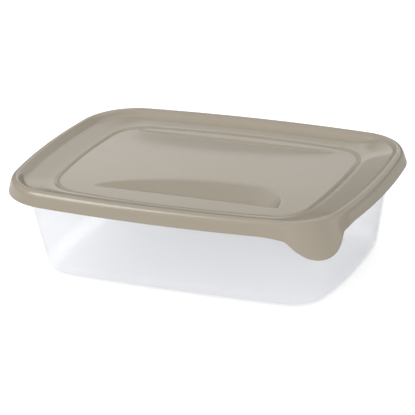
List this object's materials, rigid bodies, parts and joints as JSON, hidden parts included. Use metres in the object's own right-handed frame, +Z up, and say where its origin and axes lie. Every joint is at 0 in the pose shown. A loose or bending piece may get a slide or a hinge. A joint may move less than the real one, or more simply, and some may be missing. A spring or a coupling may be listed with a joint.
{
  "type": "food storage container",
  "caption": "Clear shut food box with a taupe press-on lid that has a sunken panel, leaf-shaped hollows and a pull tab at one corner.",
  "frame": {"origin": "middle of the box on the surface it rests on, the bottom centre of its bounding box", "axes": "+X along the length towards the end with the pull tab, +Y across the width away from the tab's side, +Z up"},
  "size_m": [0.25, 0.182, 0.0705],
  "materials": {
    "clear_plastic": "slightly frosted clear polypropylene",
    "lid_plastic": "satin opaque taupe"
  },
  "bodies": {
    "root": {"tub": "clear_plastic", "lid": "lid_plastic"}
  },
  "joints": []
}
